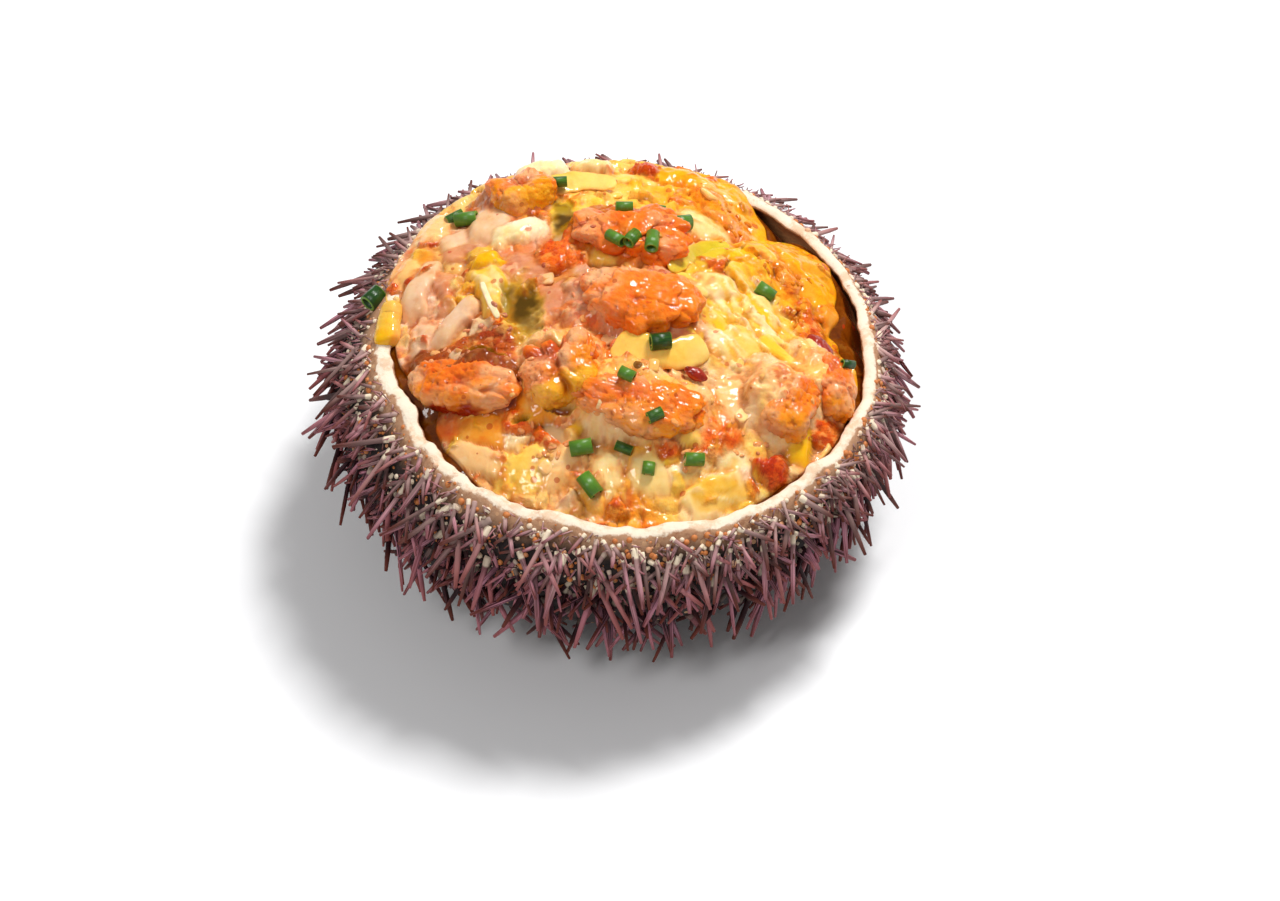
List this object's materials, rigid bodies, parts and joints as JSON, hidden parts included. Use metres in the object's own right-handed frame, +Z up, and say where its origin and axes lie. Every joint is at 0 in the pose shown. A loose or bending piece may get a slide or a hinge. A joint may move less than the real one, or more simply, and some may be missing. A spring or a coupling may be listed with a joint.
{
  "type": "baked sea urchin",
  "caption": "Baked sea urchin: a spiny purple shell cut open at the top and heaped with a creamy baked filling, lobes of orange roe and cut chives.",
  "frame": {"origin": "middle of the small flat foot that the shell rests on, at floor level", "axes": "+Z up out of the cut opening; -Y faces the viewer; +X to the viewer's right, the side to which the cut edge leans down"},
  "size_m": [0.0791, 0.0793, 0.0407],
  "materials": {
    "shell": "matte, chalky",
    "filling": "creamy, wet gloss",
    "roe": "wet gloss, granular"
  },
  "bodies": {
    "root": {"shell": "shell", "filling": "filling", "roe_1": "roe", "roe_2": "roe", "roe_3": "roe", "roe_4": "roe", "roe_5": "roe", "roe_6": "roe", "roe_7": "roe", "roe_8": "roe"}
  },
  "joints": []
}
